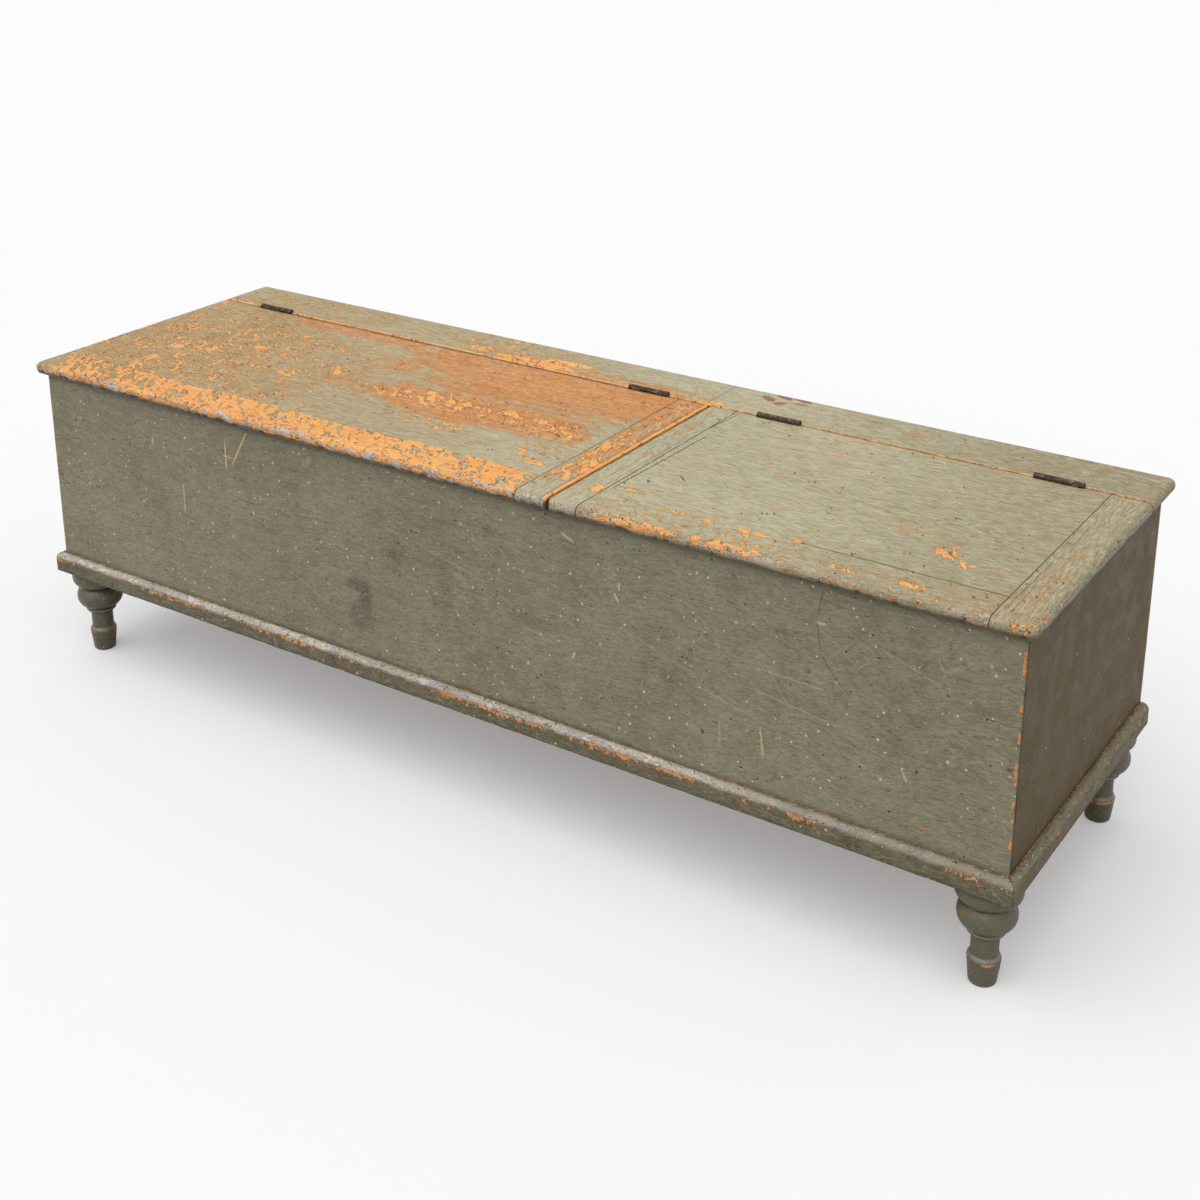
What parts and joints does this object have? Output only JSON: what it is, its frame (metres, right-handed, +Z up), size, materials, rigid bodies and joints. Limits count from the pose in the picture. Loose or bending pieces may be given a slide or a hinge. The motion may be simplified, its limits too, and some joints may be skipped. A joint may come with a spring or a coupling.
{
  "type": "storage trunk",
  "caption": "Long low painted pine storage trunk with hinged lids, a fixed rear rail, a moulded base and turned feet.",
  "frame": {"origin": "on the floor, under the middle of the top", "axes": "+Z up, +X along the length to the viewer's right, the front faces -Y"},
  "size_m": [1.83, 0.582, 0.5698],
  "materials": {
    "top_paint": "worn grey-green paint over orange-brown pine",
    "case_paint": "dull olive-grey paint with small chips",
    "moulding_paint": "olive-grey paint rubbed pale along the upper edge",
    "foot_paint": "smooth olive paint with a slight gloss",
    "bare_pine": "unpainted aged pine",
    "hinge_iron": "dark brown iron with worn bright spots",
    "nail_iron": "dark old iron"
  },
  "bodies": {
    "case": {"front_board": "case_paint", "back_board": "case_paint", "left_end_board": "case_paint", "right_end_board": "case_paint", "divider_board": "bare_pine", "front_bottom_board": "bare_pine", "middle_bottom_board": "bare_pine", "rear_bottom_board": "bare_pine", "left_foot_batten": "bare_pine", "right_foot_batten": "bare_pine", "middle_batten": "bare_pine", "front_base_moulding": "moulding_paint", "left_base_moulding": "moulding_paint", "right_base_moulding": "moulding_paint", "front_left_foot": "foot_paint", "front_right_foot": "foot_paint", "rear_left_foot": "foot_paint", "rear_right_foot": "foot_paint", "back_rail": "top_paint", "left_outer_hinge_rail_leaf": "hinge_iron", "left_inner_hinge_rail_leaf": "hinge_iron", "right_inner_hinge_rail_leaf": "hinge_iron", "right_outer_hinge_rail_leaf": "hinge_iron", "left_outer_hinge_pin": "hinge_iron", "left_inner_hinge_pin": "hinge_iron", "right_inner_hinge_pin": "hinge_iron", "right_outer_hinge_pin": "hinge_iron", "rail_hinge_screws": "nail_iron", "front_corner_nails": "nail_iron", "back_corner_nails": "nail_iron", "rail_nails": "nail_iron", "moulding_nails": "nail_iron", "bottom_edge_nails": "nail_iron", "bottom_board_nails": "nail_iron", "batten_nails": "nail_iron", "divider_nails": "nail_iron"},
    "left_lid": {"left_lid_main_board": "top_paint", "left_lid_front_board": "top_paint", "left_lid_outer_cleat": "top_paint", "left_lid_inner_cleat": "top_paint", "left_outer_hinge_lid_leaf": "hinge_iron", "left_inner_hinge_lid_leaf": "hinge_iron", "left_lid_hinge_screws": "nail_iron", "left_lid_cleat_nails": "nail_iron"},
    "right_lid": {"right_lid_main_board": "top_paint", "right_lid_front_board": "top_paint", "right_lid_inner_cleat": "top_paint", "right_lid_outer_cleat": "top_paint", "right_inner_hinge_lid_leaf": "hinge_iron", "right_outer_hinge_lid_leaf": "hinge_iron", "right_lid_hinge_screws": "nail_iron", "right_lid_cleat_nails": "nail_iron"}
  },
  "joints": [
    {"name": "left_lid_hinge", "type": "hinge", "parent": "case", "child": "left_lid", "pos_m": [-0.36575, 0.176, 0.5645], "axis": [-1, 0, 0], "range_deg": [0, 180]},
    {"name": "right_lid_hinge", "type": "hinge", "parent": "case", "child": "right_lid", "pos_m": [0.55175, 0.176, 0.5645], "axis": [-1, 0, 0], "range_deg": [0, 180]}
  ]
}
